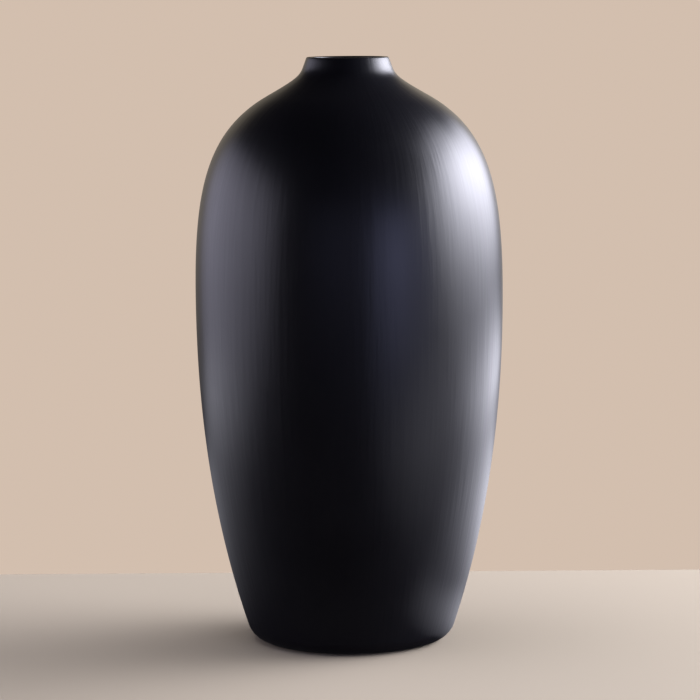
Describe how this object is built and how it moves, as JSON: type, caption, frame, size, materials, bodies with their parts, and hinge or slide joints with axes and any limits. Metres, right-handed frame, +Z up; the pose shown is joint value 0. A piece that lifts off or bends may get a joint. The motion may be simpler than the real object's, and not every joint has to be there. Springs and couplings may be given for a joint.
{
  "type": "clay vase",
  "caption": "Tall free-standing black clay vase with a high rounded shoulder, a tapering body, a short narrow neck, a plain open mouth and a flat ring to stand on.",
  "frame": {"origin": "on the vase's axis, in the plane of the flat ring it stands on", "axes": "+Z up along the vase's axis, out of its mouth; the vase is turned, so X and Y are alike"},
  "size_m": [0.2132, 0.2132, 0.406],
  "materials": {
    "burnished_black_clay": "near-black fired clay, satin from burnishing, matte and sooty inside and underneath"
  },
  "bodies": {
    "root": {"clay_pot": "burnished_black_clay"}
  },
  "joints": []
}
